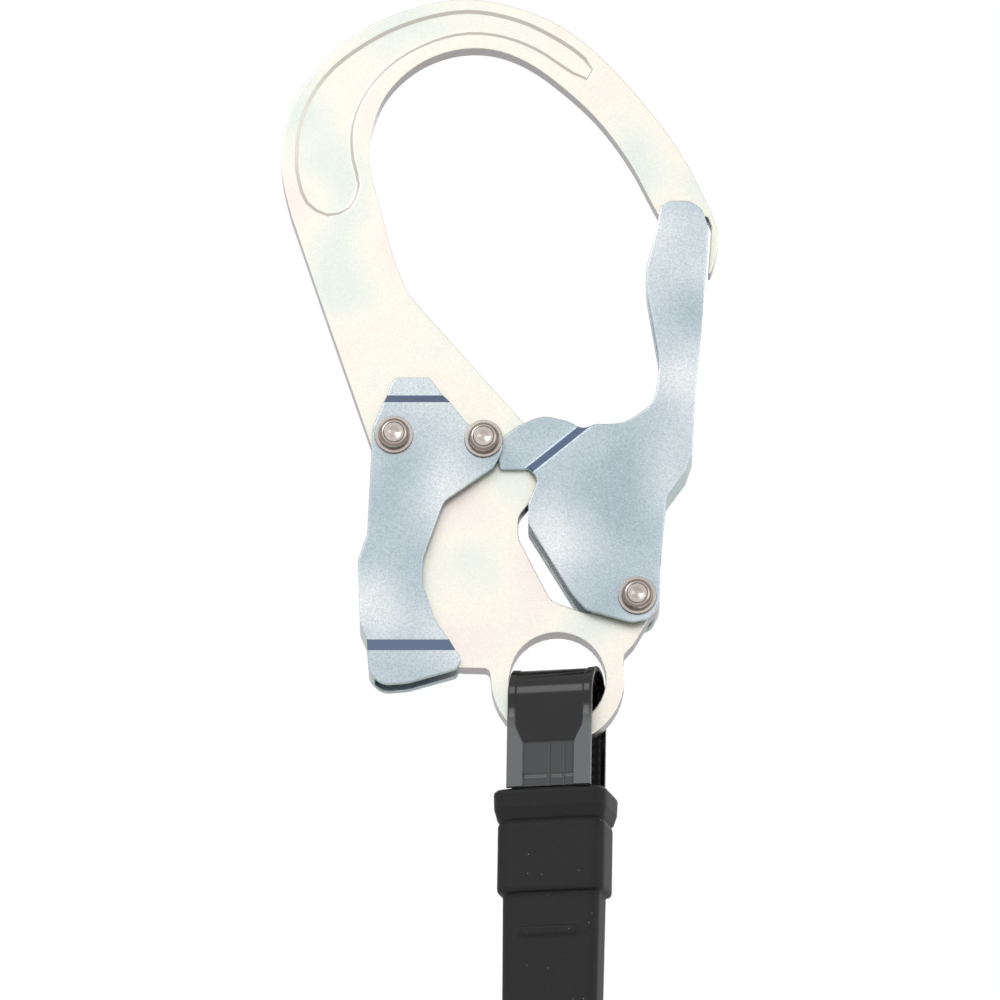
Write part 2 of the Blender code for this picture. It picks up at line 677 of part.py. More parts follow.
# The saddle's legs end where their corners, turned by the yaw, would come near the side of the eye.
saddle_corner = STRAP_W / 2 * math.cos(math.radians(YAW)) + SADDLE_OUT * math.sin(math.radians(-YAW))
SADDLE_BOTTOM = -math.sqrt((EYE_HOLE_R - 2 * GAP) ** 2 - saddle_corner**2)
LEG_BOTTOM = SLEEVE_TOP + GAP
cover_in_top = THIMBLE_TOP - COVER_T
band_top = cover_in_top - GAP
saddle_top = band_top - STRAP_T - GAP

cover_loop = arch(COVER_OUT, COVER_IN, THIMBLE_TOP, cover_in_top, LEG_BOTTOM, COVER_OUT, COVER_IN)
thimble_cover = slab(
    "thimble_cover", [cover_loop], -COVER_W / 2, COVER_W / 2, "gloss_plastic", lanyard_frame, "X"
)
WINDOW_TOP = -14.6
WINDOW_W = 14.4
window = block(
    "window_cutter",
    (-WINDOW_W / 2, -COVER_OUT - 1, LEG_BOTTOM - 1),
    (WINDOW_W / 2, -COVER_IN + GAP / 2, WINDOW_TOP),
    lanyard_frame,
)
combine(thimble_cover, window, "DIFFERENCE")
block(
    "thimble_latch",
    (-WINDOW_W / 2 + GAP, -COVER_OUT + 0.5, LEG_BOTTOM),
    (WINDOW_W / 2 - GAP, -COVER_IN, WINDOW_TOP - GAP),
    lanyard_frame,
    "gloss_plastic",
)
saddle_loop = arch(
    SADDLE_OUT, SADDLE_IN, saddle_top, saddle_top - SADDLE_T, SADDLE_BOTTOM, SADDLE_OUT, SADDLE_IN
)
slab("thimble_saddle", [saddle_loop], -STRAP_W / 2, STRAP_W / 2, "gloss_plastic", lanyard_frame, "X")

# The loop of webbing: round the saddle, down both legs, and together inside the sleeve.
PLY_OUT = STRAP_T + GAP / 2
PLY_IN = GAP / 2
MEET = COLLAR_BOTTOM + 4.0
LOOP_BOTTOM = SLEEVE_BOTTOM + 6.0
loop_side = [
    (BAND_OUT, LEG_BOTTOM, 6), (PLY_OUT, MEET, 6), (PLY_OUT, LOOP_BOTTOM, 0), (PLY_IN, LOOP_BOTTOM, 0),
    (PLY_IN, MEET, 8), (BAND_IN, LEG_BOTTOM, 8), (BAND_IN, SADDLE_BOTTOM, 0),
]
band_in_top = band_top - STRAP_T
loop_loop = outline(
    [(-BAND_OUT, band_top, BAND_OUT), (BAND_OUT, band_top, BAND_OUT), *loop_side]
    + [(BAND_IN, band_in_top, BAND_IN), (-BAND_IN, band_in_top, BAND_IN)]
    + [(-y, z, r) for y, z, r in reversed(loop_side)]
)
slab("webbing_loop", [loop_loop], -STRAP_W / 2, STRAP_W / 2, "webbing", lanyard_frame, "X")


def rounded_section(width, depth, radius, height, sides=3):
    """Corner points of a rounded rectangle at one height, the same count for any size."""
    radius = min(radius, 0.49 * width, 0.49 * depth)
    rows = []
    for turn, (sx, sy) in enumerate(((1, 1), (-1, 1), (-1, -1), (1, -1))):
        angle = np.radians(np.linspace(90 * turn, 90 * turn + 90, sides + 1))
        x = sx * (width / 2 - radius) + radius * np.cos(angle)
        y = sy * (depth / 2 - radius) + radius * np.sin(angle)
        rows.append(np.stack([x, y, np.full(len(angle), height)], axis=1))
    return np.vstack(rows)


def lofted(name, sections, inner, material, parent):
    """Soft form through rounded sections from the top down, with a passage of rounded sections inside."""
    rings = [rounded_section(*s) for s in sections] + [rounded_section(*s) for s in reversed(inner)]
    count = len(rings[0])
    points = np.vstack(rings) * MM
    mesh = bpy.data.meshes.new(name)
    faces = []
    for ring in range(len(rings)):
        below = (ring + 1) % len(rings)
        for i in range(count):
            j = (i + 1) % count
            faces.append((ring * count + i, below * count + i, below * count + j, ring * count + j))
    mesh.from_pydata(points.tolist(), [], faces)
    mesh.shade_smooth()
    return place(bpy.data.objects.new(name, mesh), parts, parent, material)


PASSAGE_W = STRAP_W + 2 * GAP
PASSAGE_D = 2 * PLY_OUT + 2 * GAP
RIM_PASSAGE_D = 2 * BAND_OUT + 2 * GAP
sleeve_outside = [
    (RIM_W - 1.6, RIM_D - 1.6, 3.0, SLEEVE_TOP),
    (RIM_W, RIM_D, 3.6, SLEEVE_TOP - 0.9),
    (RIM_W - 0.6, RIM_D - 2.0, 3.6, SLEEVE_TOP - 4.0),
    (COLLAR_W - 0.8, COLLAR_D - 0.4, 3.6, COLLAR_TOP + 0.6),
    (COLLAR_W, COLLAR_D, 3.6, COLLAR_TOP - 0.8),
    (COLLAR_W, COLLAR_D, 3.6, COLLAR_BOTTOM + 0.8),
    (COLLAR_W - 1.4, COLLAR_D - 1.4, 3.4, COLLAR_BOTTOM),
    (SLEEVE_W, SLEEVE_D, 3.4, COLLAR_BOTTOM - 0.7),
    (SLEEVE_W - 0.6, SLEEVE_D - 0.6, 3.4, SLEEVE_BOTTOM + 0.6),
    (SLEEVE_W - 1.6, SLEEVE_D - 1.6, 3.0, SLEEVE_BOTTOM),
]
sleeve_inside = [
    (PASSAGE_W, RIM_PASSAGE_D, 0.4, SLEEVE_TOP),
    (PASSAGE_W, RIM_PASSAGE_D - 1.2, 0.4, SLEEVE_TOP - 4.6),
    (PASSAGE_W, PASSAGE_D + 2.4, 0.4, MEET + 1.0),
    (PASSAGE_W, PASSAGE_D, 0.4, MEET - 6.0),
    (PASSAGE_W, PASSAGE_D, 0.4, SLEEVE_BOTTOM),
]
lofted("rubber_sleeve", sleeve_outside, sleeve_inside, "rubber", lanyard_frame)


# --- Retractor ---------------------------------------------------------------------------------------------

CASE_TOP = SLEEVE_BOTTOM - STRAP_FREE - BUMPER_H
retractor_frame = empty("retractor_frame", Matrix.Translation((0, 0, CASE_TOP * MM)), lanyard_frame)
FLANGE_R = ROLL_R + FLANGE_RIM
SPOOL_DROP = TOP_ROOM + FLANGE_R
SPOOL = (ROLL_R + STRAP_T / 2 + GAP, -SPOOL_DROP)  # (y, z) of the spool's axis
strap_end = CASE_TOP - SPOOL_DROP
block(
    "strap",
    (-STRAP_W / 2, -STRAP_T / 2, strap_end),
    (STRAP_W / 2, STRAP_T / 2, LOOP_BOTTOM - GAP),
    lanyard_frame,
    "webbing",
)

# Spool: hub, flanges and rolled webbing on a shaft.
ROLL_HALF = STRAP_W / 2 + GAP
FLANGE_IN = ROLL_HALF + GAP
FLANGE_OUT = FLANGE_IN + FLANGE_T
FRAME_IN = FLANGE_OUT + FLANGE_CLEAR
FRAME_OUT = FRAME_IN + FRAME_T
CUP_IN = FRAME_OUT + CUP_CLEAR
CUP_OUT = CUP_IN + SPRING_W + 2 * CUP_WALL
CASE_IN = CUP_OUT + CASE_CLEAR
CASE_OUT = CASE_IN + CASE_WALL
SHAFT_R = SHAFT_D / 2
spool_at = (0, SPOOL[0], SPOOL[1])


def on_spool(name, inner, outer, low, high, material, steps=BORE_STEPS):
    profile = tube_profile(inner, outer, low, high)
    return turned(name, profile, spool_at, "X", material, retractor_frame, steps, closed=True)


SHAFT_END = CASE_IN - 1.0
shaft_profile = rod_profile(SHAFT_R, -SHAFT_END, SHAFT_END)
turned("spool_shaft", shaft_profile, spool_at, "X", "frame_steel", retractor_frame)
on_spool("spool_hub", SHAFT_R + GAP, HUB_D / 2, -ROLL_HALF, ROLL_HALF, "case_plastic")
on_spool("webbing_roll", HUB_D / 2 + GAP, ROLL_R, -STRAP_W / 2, STRAP_W / 2, "webbing", 32)
on_spool("spool_flange_left", SHAFT_R + GAP, FLANGE_R, -FLANGE_OUT, -FLANGE_IN, "frame_steel", 32)
on_spool("spool_flange_right", SHAFT_R + GAP, FLANGE_R, FLANGE_IN, FLANGE_OUT, "frame_steel", 32)
BUSH_R = SHAFT_R + RUNNING_FIT + BUSH_WALL
for side, word in ((-1, "left"), (1, "right")):
    low, high = sorted((side * (FRAME_IN - 0.4), side * (FRAME_OUT + 0.2)))
    on_spool(f"bushing_{word}", SHAFT_R + RUNNING_FIT, BUSH_R, low, high, "bronze")

# Frame: one steel strip folded to a U, open at the top, with a hole for the swivel in its floor.
FRAME_TOP = SPOOL[1] + FLANGE_R + 4.0
FRAME_FLOOR = SPOOL[1] - FLANGE_R - 6.0
SWIVEL_Y = SPOOL[0] / 2
FRAME_FRONT = SPOOL[0] - FLANGE_R - 1.0
FRAME_BACK = SPOOL[0] + 14.0
frame_side = outline(
    [
        (FRAME_FRONT, FRAME_FLOOR - FRAME_T, 6), (FRAME_BACK, FRAME_FLOOR - FRAME_T, 6),
        (FRAME_BACK, FRAME_TOP, 8), (SPOOL[0] - 14.0, FRAME_TOP, 8), (FRAME_FRONT, SPOOL[1], 10),
    ]
)
steel_frame = slab("steel_frame", [frame_side], -FRAME_OUT, FRAME_OUT, "frame_steel", retractor_frame, "X")
inside = block(
    "frame_inside",
    (-FRAME_IN, FRAME_FRONT - 20, FRAME_FLOOR),
    (FRAME_IN, FRAME_BACK + 20, FRAME_TOP + 20),
    retractor_frame,
)
combine(steel_frame, inside, "DIFFERENCE")
bush_hole = turned("frame_bush_hole", rod_profile(BUSH_R + GAP, -60, 60), spool_at, "X", None, retractor_frame)
combine(steel_frame, bush_hole, "DIFFERENCE")
swivel_hole = turned(
    "swivel_hole",
    rod_profile(SWIVEL_D / 2 + RUNNING_FIT, FRAME_FLOOR - 20, FRAME_FLOOR + 6),
    (0, SWIVEL_Y, 0),
    "Z",
    None,
    retractor_frame,
)
combine(steel_frame, swivel_hole, "DIFFERENCE")

# Ratchet wheel outside the left side of the frame, with saw teeth: each tooth rises slowly and drops at once.
RATCHET_HIGH = -(FRAME_OUT + 0.8)
RATCHET_LOW = RATCHET_HIGH - RATCHET_T
TOOTH_DEPTH = 3.2
tooth = np.repeat(np.arange(RATCHET_TEETH), 2)
tooth_angle = (tooth + np.tile([0.0, 0.97], RATCHET_TEETH)) * 2 * math.pi / RATCHET_TEETH
tooth_radius = RATCHET_R - TOOTH_DEPTH * np.tile([1.0, 0.0], RATCHET_TEETH)
ratchet_loop = np.stack(
    [SPOOL[0] + tooth_radius * np.cos(tooth_angle), SPOOL[1] + tooth_radius * np.sin(tooth_angle)], axis=1
)
slab(
    "ratchet_wheel",
    [ratchet_loop, circle(SPOOL, SHAFT_R + GAP, 24)],
    RATCHET_LOW,
    RATCHET_HIGH,
    "frame_steel",
    retractor_frame,
    "X",
)

# Pawl on a pin beside the wheel, held off it by a hairpin spring.
PAWL_PIN_D = 4.0
PAWL_AT = (SPOOL[0] + 14.0, SPOOL[1] + 25.5)
pawl_loop = outline(
    near(
        PAWL_AT,
        [
            (3.6, 3.6, 3.4), (3.6, -4.2, 3.4), (-2.0, -4.0, 2), (-14.6, -3.6, 0.6), (-15.0, -1.2, 1),
            (-3.6, 3.6, 3.4),
        ],
    )
)
pawl_holes = [circle(PAWL_AT, PAWL_PIN_D / 2 + RUNNING_FIT, 16)]
slab("lock_pawl", [pawl_loop, *pawl_holes], RATCHET_LOW, RATCHET_HIGH, "frame_steel", retractor_frame, "X")
pin_profile = rod_profile(PAWL_PIN_D / 2, RATCHET_LOW - 0.8, -FRAME_OUT - GAP)
turned("pawl_pin", pin_profile, (0, *PAWL_AT), "X", "frame_steel", retractor_frame, 16)
spring_x = RATCHET_LOW - 1.4
turn = np.linspace(0, 2 * math.pi * 1.5, 20)
coil_y = PAWL_AT[0] + 3.4 * np.cos(turn)
coil_z = PAWL_AT[1] + 3.4 * np.sin(turn)
coil_x = spring_x - 1.0 * turn / (2 * math.pi)
hairpin = np.stack([coil_x, coil_y, coil_z], axis=1)
wire(
    "pawl_spring",
    [hairpin[0] + np.array([0, 0, -6.0]), *hairpin, hairpin[-1] + np.array([0, 0, 6.0])],
    0.7,
    "spring_steel",
    retractor_frame,
)

# Power spring: a flat spiral in its cup outside the right side of the frame.
cup_profile = [
    (CUP_R, CUP_OUT - CUP_WALL - GAP), (CUP_R, CUP_IN), (SHAFT_R + 1.0, CUP_IN),
    (SHAFT_R + 1.0, CUP_IN + CUP_WALL), (CUP_R - CUP_WALL, CUP_IN + CUP_WALL),
    (CUP_R - CUP_WALL, CUP_OUT - CUP_WALL - GAP),
]
turned("spring_cup", cup_profile, spool_at, "X", "case_plastic", retractor_frame, 40, closed=True)
on_spool("spring_cover", SHAFT_R + 1.0, CUP_R, CUP_OUT - CUP_WALL, CUP_OUT, "case_plastic", 40)
spiral_turn = np.linspace(0, 2 * math.pi * SPRING_TURNS, 16 * SPRING_TURNS + 1)
spiral_grow = (CUP_R - CUP_WALL - GAP - SPRING_T - (SHAFT_R + 1.5)) / spiral_turn[-1]
spiral_in = SHAFT_R + 1.5 + spiral_grow * spiral_turn
spiral_side = []
for radius in (spiral_in, spiral_in + SPRING_T):
    y, z = SPOOL[0] + radius * np.cos(spiral_turn), SPOOL[1] + radius * np.sin(spiral_turn)
    spiral_side.append(np.stack([y, z], axis=1))
spiral_loop = np.vstack([spiral_side[1], spiral_side[0][::-1]])
spring_low = CUP_IN + CUP_WALL + GAP
slab(
    "power_spring",
    [spiral_loop],
    spring_low,
    spring_low + SPRING_W - 3 * GAP,
    "spring_steel",
    retractor_frame,
    "X",
)

# Casing: two shells that meet in the middle plane, with posts for the screws.
CASE_FRONT = FRAME_FRONT - 1.5 - CASE_WALL
CASE_BACK = SPOOL[0] + FLANGE_R + 2.5 + CASE_WALL
CASE_FLOOR = FRAME_FLOOR - FRAME_T - 1.0 - CASE_WALL
case_loop = outline(
    [
        (CASE_FRONT - 4.0, -9.0, 8), (-9.0, 0, 3), (9.0, 0, 3), (17.0, -6.0, 5), (SPOOL[0] + 14, -9.0, 14),
        (CASE_BACK, SPOOL[1] + 22, 20), (CASE_BACK, SPOOL[1] - 22, 20), (SPOOL[0] + 22, CASE_FLOOR, 14),
        (CASE_FRONT - 4.0, CASE_FLOOR, 14),
    ]
)
case_inside = inset(case_loop, CASE_WALL)
POST_R = 3.6
SCREWS = [
    (CASE_FRONT - 0.2, -22.0), (CASE_BACK - 9.0, SPOOL[1] + FLANGE_R - 2.5),
    (CASE_BACK - 8.0, SPOOL[1] - FLANGE_R + 1.0),
    (CASE_FRONT - 0.2, CASE_FLOOR + 9.5),
]
MOUTH_HALF_X = STRAP_W / 2 + 3.0
MOUTH_HALF_Y = 5.0


def posts(name, radius, low, high, parent):
    """One cylinder at each casing screw, along X."""
    rings = [circle(centre, radius, 16) for centre in SCREWS]
    return slab(name, rings, low, high, None, parent, "X")


for side, word in ((-1, "left"), (1, "right")):
    # The outline is drawn in towards the outer face, which rounds the casing's edge.
    levels = ((GAP / 2, 0.0), (CASE_OUT - CASE_EDGE, 0.0), (CASE_OUT - CASE_EDGE * 0.3, CASE_EDGE * 0.3))
    levels = [(side * x, inset(case_loop, drawn_in)) for x, drawn_in in (*levels, (CASE_OUT, CASE_EDGE))]
    shell = stacked(f"casing_{word}", levels, "X", retractor_frame, "case_plastic")
    low, high = sorted((-side, side * CASE_IN))
    hollow = slab(f"casing_hollow_{word}", [case_inside], low, high, None, retractor_frame, "X")
    combine(shell, hollow, "DIFFERENCE")
    low, high = sorted((side * GAP / 2, side * (CASE_IN + 0.6)))
    combine(shell, posts(f"posts_{word}", POST_R, low, high, retractor_frame), "UNION")
    low, high = sorted((-side, side * (CASE_OUT + 5 if side > 0 else 12.0)))
    screw_holes = posts(f"screw_holes_{word}", CASE_SCREW_D / 2 + GAP, low, high, retractor_frame)
    combine(shell, screw_holes, "DIFFERENCE")
mouth = block(
    "mouth_cutter",
    (-MOUTH_HALF_X, -MOUTH_HALF_Y, -CASE_WALL - 6),
    (MOUTH_HALF_X, MOUTH_HALF_Y, 10),
    retractor_frame,
)
for word in ("left", "right"):
    combine(bpy.data.objects[f"casing_{word}"], mouth, "DIFFERENCE")
    combine(bpy.data.objects[f"casing_{word}"], swivel_hole, "DIFFERENCE")

SCREW_HEAD_R = 3.0
for i, (y, z) in enumerate(SCREWS):
    head = [(0, 1.8), (SCREW_HEAD_R * 0.7, 1.8), (SCREW_HEAD_R, 0.6), (SCREW_HEAD_R, 0.0)]
    shank = [(CASE_SCREW_D / 2, 0.0), (CASE_SCREW_D / 2, -CASE_OUT - 8.0), (0, -CASE_OUT - 8.0)]
    seat = (CASE_OUT + GAP, y, z)
    turned(f"casing_screw_{i + 1}", head + shank, seat, "X", "nickel", retractor_frame, 16)

# Mouth: a plastic guide in the casing's slot and a rubber bumper on top of it.
GUIDE_WALL = 1.6
guide_sections = [
    (2 * MOUTH_HALF_X - 2 * GAP, 2 * MOUTH_HALF_Y - 2 * GAP, 1.5, 0.0),
    (2 * MOUTH_HALF_X - 2 * GAP, 2 * MOUTH_HALF_Y - 2 * GAP, 1.5, -CASE_WALL - 5),
]
SLOT_W = STRAP_W + 2.0
SLOT_D = STRAP_T + 2.0
guide_slot = [(SLOT_W + 1.0, SLOT_D + 1.0, 1.4, 0.0), (SLOT_W, SLOT_D, 1.0, -CASE_WALL - 5)]
lofted("mouth_guide", guide_sections, guide_slot, "gloss_plastic", retractor_frame)
bumper_sections = [
    (2 * MOUTH_HALF_X - 1.0, 2 * MOUTH_HALF_Y + 2.0, 5.0, BUMPER_H),
    (2 * MOUTH_HALF_X + 1.0, 2 * MOUTH_HALF_Y + 4.0, 6.0, BUMPER_H - 1.0),
    (2 * MOUTH_HALF_X + 2.0, 2 * MOUTH_HALF_Y + 5.0, 6.0, GAP),
]
bumper_slot = [(SLOT_W + 1.0, SLOT_D + 2.4, 1.4, BUMPER_H), (SLOT_W + 1.0, SLOT_D + 1.0, 1.4, GAP)]
lofted("mouth_bumper", bumper_sections, bumper_slot, "rubber", retractor_frame)

# Swivel: a headed stud through the frame's floor, with a round eye below, and a collar on the stud.
STUD_TOP = FRAME_FLOOR + GAP
EYE_MID = CASE_FLOOR - 4.5 - SWIVEL_EYE_R
stud = [(0, STUD_TOP + 3.4), (SWIVEL_D / 2 + 3, STUD_TOP + 3.4), (SWIVEL_D / 2 + 3, STUD_TOP)]
stud += [(SWIVEL_D / 2, STUD_TOP), (SWIVEL_D / 2, CASE_FLOOR - 2.6), (0, CASE_FLOOR - 2.6)]
swivel_eye = turned("swivel_eye", stud, (0, SWIVEL_Y, 0), "Z", "nickel", retractor_frame)
wire_r = SWIVEL_WIRE_D / 2
ring_turn = np.linspace(0, 2 * math.pi, 8, endpoint=False)
ring_profile = [
    (SWIVEL_EYE_R + wire_r * math.cos(a), -wire_r * math.sin(a)) for a in ring_turn
]
eye_torus = turned(
    "swivel_ring", ring_profile, (0, SWIVEL_Y, EYE_MID), "Y", None, retractor_frame, 24, closed=True
)
combine(swivel_eye, eye_torus, "UNION")
collar = tube_profile(SWIVEL_D / 2 + RUNNING_FIT, SWIVEL_D / 2 + 4.0, CASE_FLOOR - 1.6, CASE_FLOOR - GAP)
turned("swivel_collar", collar, (0, SWIVEL_Y, 0), "Z", "nickel", retractor_frame, closed=True)

for piece in parts.objects:
    if piece.type == "MESH" and "turn" in piece.modifiers:
        continue
    if piece.type == "MESH":
        piece.data.shade_smooth()
        piece.data.set_sharp_from_angle(angle=math.radians(35))
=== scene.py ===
"""Looks of a self-retracting lifeline with a scaffold hook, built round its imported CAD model, in metres."""

import json
import math

import bmesh
import bpy
import numpy as np
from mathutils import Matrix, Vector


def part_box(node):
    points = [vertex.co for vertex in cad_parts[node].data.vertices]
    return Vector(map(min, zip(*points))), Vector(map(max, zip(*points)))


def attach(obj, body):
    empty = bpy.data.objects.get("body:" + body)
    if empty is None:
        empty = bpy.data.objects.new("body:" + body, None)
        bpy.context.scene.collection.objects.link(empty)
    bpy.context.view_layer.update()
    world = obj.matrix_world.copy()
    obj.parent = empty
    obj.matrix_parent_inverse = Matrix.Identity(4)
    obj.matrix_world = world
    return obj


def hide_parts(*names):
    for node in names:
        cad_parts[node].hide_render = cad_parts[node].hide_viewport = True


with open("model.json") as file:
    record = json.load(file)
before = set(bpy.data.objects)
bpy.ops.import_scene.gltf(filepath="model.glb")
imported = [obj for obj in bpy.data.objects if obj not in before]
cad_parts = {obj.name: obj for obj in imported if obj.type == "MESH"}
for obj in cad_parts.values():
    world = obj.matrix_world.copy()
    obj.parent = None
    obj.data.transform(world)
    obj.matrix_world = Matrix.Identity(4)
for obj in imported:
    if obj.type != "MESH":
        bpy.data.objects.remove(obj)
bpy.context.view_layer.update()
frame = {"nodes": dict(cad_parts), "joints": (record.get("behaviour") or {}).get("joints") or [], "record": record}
nodes = frame["nodes"]
MM = 0.001


# --- Hook body ---------------------------------------------------------------------------------------------
# One plate of forged steel, 7 mm thick, with a shallow pocket pressed along the bow and its edges broken.
# It is zinc plated, and the passivation leaves faint cream, green and pink tints on a crystalline surface.

# A Mix node's colour sockets share their names with its other kinds, so they are named by place.
COLOUR_A, COLOUR_B, COLOUR_OUT = 6, 7, 2


def linear(colour):
    """sRGB hex to linear: v / 12.92 for the darkest values, ((v + 0.055) / 1.055) to the power 2.4 above."""
    value = np.array([int(colour[i : i + 2], 16) / 255 for i in (0, 2, 4)])
    light = np.where(value > 0.04045, ((value + 0.055) / 1.055) ** 2.4, value / 12.92)
    return (*light.tolist(), 1.0)


def add(tree, kind, sockets=None, **settings):
    """Adds a node with its settings. A socket takes a plain value or another node's output."""
    made = tree.nodes.new("ShaderNode" + kind)
    for name, value in settings.items():
        setattr(made, name, value)
    for name, value in (sockets or {}).items():
        if isinstance(value, bpy.types.NodeSocket):
            tree.links.new(value, made.inputs[name])
        else:
            made.inputs[name].default_value = value
    return made


def new_material(name, roughness, metallic=0.0, **more):
    """Material with a Principled shader, whose sockets take the values given, and its Object coordinates."""
    material = bpy.data.materials.new(name)
    material.use_nodes = True
    tree = material.node_tree
    shader = tree.nodes["Principled BSDF"]
    values = {"Roughness": roughness, "Metallic": metallic, **more}
    for socket, value in values.items():
        shader.inputs[socket.replace("_", " ")].default_value = value
    place = add(tree, "TexCoord").outputs["Object"]
    return material, tree, shader, place


def texture_surface(tree, shader, height, strength, distance, edge):
    """Roughens the surface by a height pattern, and shades every edge as if it were rounded to a radius."""
    rounded = add(tree, "Bevel", {"Radius": edge}, samples=6).outputs["Normal"]
    bump = add(
        tree, "Bump", {"Height": height, "Strength": strength, "Distance": distance, "Normal": rounded}
    )
    tree.links.new(bump.outputs["Normal"], shader.inputs["Normal"])


def plated(name, tints, painted_wall_shade, painted_step_shade, shade, roughness, edge):
    """Electroplated metal: satin, with a tint that drifts over some 30 mm and crystals of about 0.3 mm that
    catch the light one by one. Faces that lean out of the plate's plane get painted shade in place of the
    tints: one colour for sheared walls and one for pressed steps."""
    material, tree, shader, place = new_material(name, roughness, 1.0)
    drift = add(tree, "TexNoise", {"Vector": place, "Scale": 1 / (32 * MM), "Detail": 1.5, "Roughness": 0.45})
    ramp = add(tree, "ValToRGB", {"Fac": drift.outputs["Fac"]})
    stops = ramp.color_ramp.elements
    stops[0].position, stops[1].position = 0.34, 0.68
    middle = stops.new(0.5)
    for stop, tint in zip((stops[0], middle, stops[-1]), tints):
        stop.color = linear(tint)
    crystals = add(tree, "TexVoronoi", {"Vector": place, "Scale": 1 / (0.32 * MM)})
    brightness = {"Value": crystals.outputs["Color"], "From Min": 0.2, "From Max": 0.8, "To Min": shade}
    glint = add(tree, "MapRange", {**brightness, "To Max": 1.0})
    grain = add(tree, "Mix", {"Factor": 1.0}, data_type="RGBA", blend_type="MULTIPLY")
    tree.links.new(ramp.outputs["Color"], grain.inputs[COLOUR_A])
    tree.links.new(glint.outputs["Result"], grain.inputs[COLOUR_B])
    # Painted shade on walls: a face that turns away from the plate's plane takes the wall colour, not the tints.
    normal = add(tree, "SeparateXYZ", {"Vector": add(tree, "NewGeometry").outputs["Normal"]})
    facing = add(tree, "Math", {0: normal.outputs["Y"]}, operation="ABSOLUTE")
    flat = add(tree, "MapRange", {"Value": facing.outputs[0], "From Min": 0.3, "From Max": 0.6})
    mixed = add(tree, "Mix", {"Factor": flat.outputs["Result"]}, data_type="RGBA")
    mixed.inputs[COLOUR_A].default_value = linear(painted_wall_shade)
    tree.links.new(grain.outputs[COLOUR_OUT], mixed.inputs[COLOUR_B])
    # Painted shade on pressed steps: a face that leans by 27 to 50 degrees from the plate's plane takes the
    # step colour, which fades out beside that.
    lean = add(tree, "Math", {0: facing.outputs[0], 1: 0.77}, operation="SUBTRACT")
    lean = add(tree, "Math", {0: lean.outputs[0]}, operation="ABSOLUTE")
    painted_step_mask = add(tree, "MapRange", {"Value": lean.outputs[0], "From Min": 0.2, "From Max": 0.12})
    pressed = add(tree, "Mix", {"Factor": painted_step_mask.outputs["Result"]}, data_type="RGBA")
    tree.links.new(mixed.outputs[COLOUR_OUT], pressed.inputs[COLOUR_A])
    pressed.inputs[COLOUR_B].default_value = linear(painted_step_shade)
    tree.links.new(pressed.outputs[COLOUR_OUT], shader.inputs["Base Color"])
    soft = add(tree, "TexNoise", {"Vector": place, "Scale": 1 / (0.4 * MM), "Detail": 2.0})
    texture_surface(tree, shader, soft.outputs["Fac"], 0.12, 0.03 * MM, edge)
    return material


def merged(name):
    """The CAD node's solid with its loose triangles merged. An edge is sharp over 40 degrees, and over 10
    where it bounds a face that lies flat in the plate's plane."""
    shape = bmesh.new()
    shape.from_mesh(nodes[name].data)
    bmesh.ops.remove_doubles(shape, verts=shape.verts, dist=0.005 * MM)
    for edge in shape.edges:
        bend = math.degrees(edge.calc_face_angle(math.pi))
        flat = [abs(face.normal.y) > 0.9999 for face in edge.link_faces]
        edge.smooth = bend < 10 or (bend < 40 and len(set(flat)) == 1)
    for face in shape.faces:
        face.smooth = True
    mesh = bpy.data.meshes.new(name + "_finished")
    shape.to_mesh(mesh)
    shape.free()
    return mesh


def fit(name, mesh, material, body, slot, *stands_for):
    """Puts a finished piece in the scene: its material, the body that it rides on, and what it stands for."""
    obj = bpy.data.objects.new(name, mesh)
    bpy.context.scene.collection.objects.link(obj)
    mesh.materials.clear()
    mesh.materials.append(material)
    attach(obj, body)
    if stands_for:
        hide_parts(*stands_for)
    return obj


# The wall and step colours are painted shade on the plate's walls and on the pocket's border.
plate_zinc = plated(
    "cream passivated zinc", ("E4EBE4", "F5F2E6", "F5EAE3"), painted_wall_shade="9A9597", painted_step_shade="C4BFB6",
    shade=0.93, roughness=0.36, edge=0.6 * MM,
)
fit("plate", merged("hook_body"), plate_zinc, "hook", "plate_zinc", "hook_body")


# --- Gate and lever ----------------------------------------------------------------------------------------
# Two channels of 1.6 mm sheet steel that straddle the plate. Their ears and thumb pad are pressed in until
# they run beside it. The plating is blue-white zinc, brighter than the plate's and with coarser flecks.

# The wall colour and the dark blue step colour are painted shade on the channels' bends and pressed steps.
sheet_zinc = plated(
    "blue passivated zinc", ("B4C4CC", "D0DCE2", "F0F5F6"), painted_wall_shade="93A6A4", painted_step_shade="687690",
    shade=0.78, roughness=0.3, edge=0.8 * MM,
)
for name in ("gate", "lever"):
    fit(f"{name}_channel", merged(name), sheet_zinc, name, "sheet_zinc", name)


# --- Rivets and washers ------------------------------------------------------------------------------------
# Three nickel-plated steel rivets. Each head is upset to a dome with a flat top, and bears on a thin washer.

ROUND_STEPS = 64


def turned(name, profile, centre, along, steps=ROUND_STEPS):
    """Surface of revolution: point (r, h) of the profile at angle t goes to r cos t, r sin t across the axis
    and h along it. A closed profile gives a ring, and one that starts and ends at r = 0 gives a solid."""
    profile = np.asarray(profile, float)
    turn = np.linspace(0, 2 * math.pi, steps, endpoint=False)[:, None]
    across = (profile[:, 0] * np.cos(turn), profile[:, 0] * np.sin(turn))
    height = np.broadcast_to(profile[:, 1], across[0].shape)
    order = {"X": (height, *across), "Y": (across[1], height, across[0]), "Z": (*across, height)}[along]
    points = np.stack(order, axis=-1) + np.asarray(centre)
    return surface(name, points, closed_rows=True)


